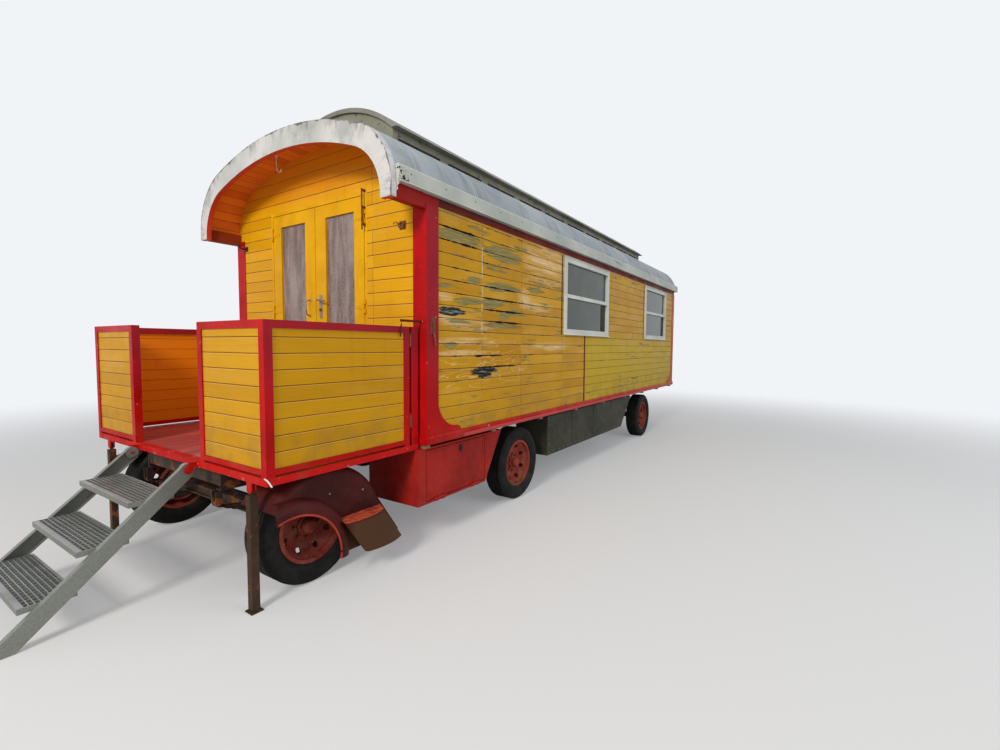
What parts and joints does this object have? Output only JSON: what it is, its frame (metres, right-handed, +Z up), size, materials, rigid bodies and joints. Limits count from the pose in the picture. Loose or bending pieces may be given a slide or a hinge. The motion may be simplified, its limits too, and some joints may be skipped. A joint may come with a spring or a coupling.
{
  "type": "circus living wagon",
  "caption": "Boarded living wagon with a porch, double door, raised roof lantern, folding stands, hinged steps and steered road wheels.",
  "frame": {"origin": "on the ground, under the middle of the whole wagon", "axes": "+X forward to the porch and steps, +Y to the left side, +Z up"},
  "size_m": [9.3054, 2.592, 3.52],
  "materials": {
    "yellow_boards": "weathered oil paint on boards",
    "red_trim": "weathered oil paint on timber",
    "door_paint": "weathered oil paint on timber",
    "deck_wood": "worn red paint on boards",
    "floor_wood": "bare planks",
    "roof_sheet": "stained grey sheet over boards",
    "lantern_paint": "grey green paint",
    "lining_paint": "orange paint on boards",
    "fascia_paint": "off-white paint",
    "eave_metal": "weathered grey paint",
    "pane_glass": "clear glass",
    "door_glass": "textured dark brown glass",
    "chassis_paint": "dark primer with rust",
    "red_sheet": "dull red paint",
    "guard_paint": "weathered maroon paint",
    "grey_sheet": "dark olive grey paint",
    "wheel_paint": "dull red paint with rust",
    "tyre_rubber": "road tyre",
    "stand_metal": "rusty brown",
    "step_metal": "dull galvanised"
  },
  "bodies": {
    "wagon": {"side_wall_left": "yellow_boards", "side_wall_right": "yellow_boards", "end_wall_front": "yellow_boards", "end_wall_rear": "yellow_boards", "rail_panels": "yellow_boards", "corner_posts": "red_trim", "wall_plates": "red_trim", "sill": "red_trim", "rail_frames": "red_trim", "deck_frame": "red_trim", "door_casing": "door_paint", "deck_boards": "deck_wood", "floor": "floor_wood", "roof_skin": "roof_sheet", "lantern_roof": "roof_sheet", "lantern_walls": "lantern_paint", "roof_lining": "lining_paint", "roof_fascia": "fascia_paint", "window_frames": "fascia_paint", "gutters": "eave_metal", "window_panes": "pane_glass", "lantern_panes": "pane_glass", "chassis_rails": "chassis_paint", "cross_members": "chassis_paint", "front_axle": "chassis_paint", "rear_axles": "chassis_paint", "leaf_springs": "chassis_paint", "rear_coupling": "chassis_paint", "lockers": "red_sheet", "mudguards": "guard_paint", "side_boxes": "grey_sheet"},
    "knuckle_left": {"knuckle_left": "chassis_paint"},
    "knuckle_right": {"knuckle_right": "chassis_paint"},
    "tie_rod": {"tie_rod": "chassis_paint"},
    "wheel_front_left": {"wheel_front_left": "wheel_paint", "tyre_front_left": "tyre_rubber"},
    "wheel_front_right": {"wheel_front_right": "wheel_paint", "tyre_front_right": "tyre_rubber"},
    "wheel_mid_left": {"wheel_mid_left": "wheel_paint", "tyre_mid_left": "tyre_rubber"},
    "wheel_mid_right": {"wheel_mid_right": "wheel_paint", "tyre_mid_right": "tyre_rubber"},
    "wheel_rear_left": {"wheel_rear_left": "wheel_paint", "tyre_rear_left": "tyre_rubber"},
    "wheel_rear_right": {"wheel_rear_right": "wheel_paint", "tyre_rear_right": "tyre_rubber"},
    "door_left": {"door_left": "door_paint", "door_glass_left": "door_glass"},
    "locker_flap_left": {"locker_flap_left": "red_sheet"},
    "stand_left": {"stand_left": "stand_metal"},
    "door_right": {"door_right": "door_paint", "door_glass_right": "door_glass"},
    "locker_flap_right": {"locker_flap_right": "red_sheet"},
    "stand_right": {"stand_right": "stand_metal"},
    "steps": {"step_stringers": "step_metal", "step_treads": "step_metal"}
  },
  "joints": [
    {"name": "steer_left", "type": "hinge", "parent": "wagon", "child": "knuckle_left", "pos_m": [3.27126, 0.74, 0.35], "axis": [0, 0, 1], "range_deg": [-18, 18]},
    {"name": "steer_right", "type": "hinge", "parent": "wagon", "child": "knuckle_right", "pos_m": [3.27126, -0.74, 0.35], "axis": [0, 0, 1], "range_deg": [-18, 18]},
    {"name": "tie_rod_pivot", "type": "hinge", "parent": "knuckle_left", "child": "tie_rod", "pos_m": [3.11126, 0.74, 0.327], "axis": [0, 0, 1], "range_deg": [-18, 18]},
    {"name": "roll_front_left", "type": "hinge", "parent": "knuckle_left", "child": "wheel_front_left", "pos_m": [3.27126, 0.9, 0.35], "axis": [0, 1, 0], "continuous": true},
    {"name": "roll_front_right", "type": "hinge", "parent": "knuckle_right", "child": "wheel_front_right", "pos_m": [3.27126, -0.9, 0.35], "axis": [0, 1, 0], "continuous": true},
    {"name": "roll_mid_left", "type": "hinge", "parent": "wagon", "child": "wheel_mid_left", "pos_m": [1.09726, 1.1, 0.35], "axis": [0, 1, 0], "continuous": true},
    {"name": "roll_mid_right", "type": "hinge", "parent": "wagon", "child": "wheel_mid_right", "pos_m": [1.09726, -1.1, 0.35], "axis": [0, 1, 0], "continuous": true},
    {"name": "roll_rear_left", "type": "hinge", "parent": "wagon", "child": "wheel_rear_left", "pos_m": [-2.93274, 1.1, 0.35], "axis": [0, 1, 0], "continuous": true},
    {"name": "roll_rear_right", "type": "hinge", "parent": "wagon", "child": "wheel_rear_right", "pos_m": [-2.93274, -1.1, 0.35], "axis": [0, 1, 0], "continuous": true},
    {"name": "door_left_hinge", "type": "hinge", "parent": "wagon", "child": "door_left", "pos_m": [2.51826, 0.599, 1.8], "axis": [0, 0, 1], "range_deg": [0, 100]},
    {"name": "locker_flap_left_hinge", "type": "hinge", "parent": "wagon", "child": "locker_flap_left", "pos_m": [2.10726, 1.231, 0.342], "axis": [-1, 0, 0], "range_deg": [0, 90]},
    {"name": "stand_left_hinge", "type": "hinge", "parent": "wagon", "child": "stand_left", "pos_m": [3.67226, 1.01, 0.7], "axis": [-1, 0, 0], "range_deg": [0, 90]},
    {"name": "door_right_hinge", "type": "hinge", "parent": "wagon", "child": "door_right", "pos_m": [2.51826, -0.639, 1.8], "axis": [0, 0, -1], "range_deg": [0, 100]},
    {"name": "locker_flap_right_hinge", "type": "hinge", "parent": "wagon", "child": "locker_flap_right", "pos_m": [2.10726, -1.231, 0.342], "axis": [1, 0, 0], "range_deg": [0, 90]},
    {"name": "stand_right_hinge", "type": "hinge", "parent": "wagon", "child": "stand_right", "pos_m": [3.67226, -1.01, 0.7], "axis": [1, 0, 0], "range_deg": [0, 90]},
    {"name": "steps_hinge", "type": "hinge", "parent": "wagon", "child": "steps", "pos_m": [3.74426, 0, 0.735], "axis": [0, -1, 0], "range_deg": [0, 130]}
  ],
  "couplings": [
    {"joint": "steer_right", "follows": "steer_left", "ratio": 1},
    {"joint": "tie_rod_pivot", "follows": "steer_left", "ratio": -1}
  ]
}
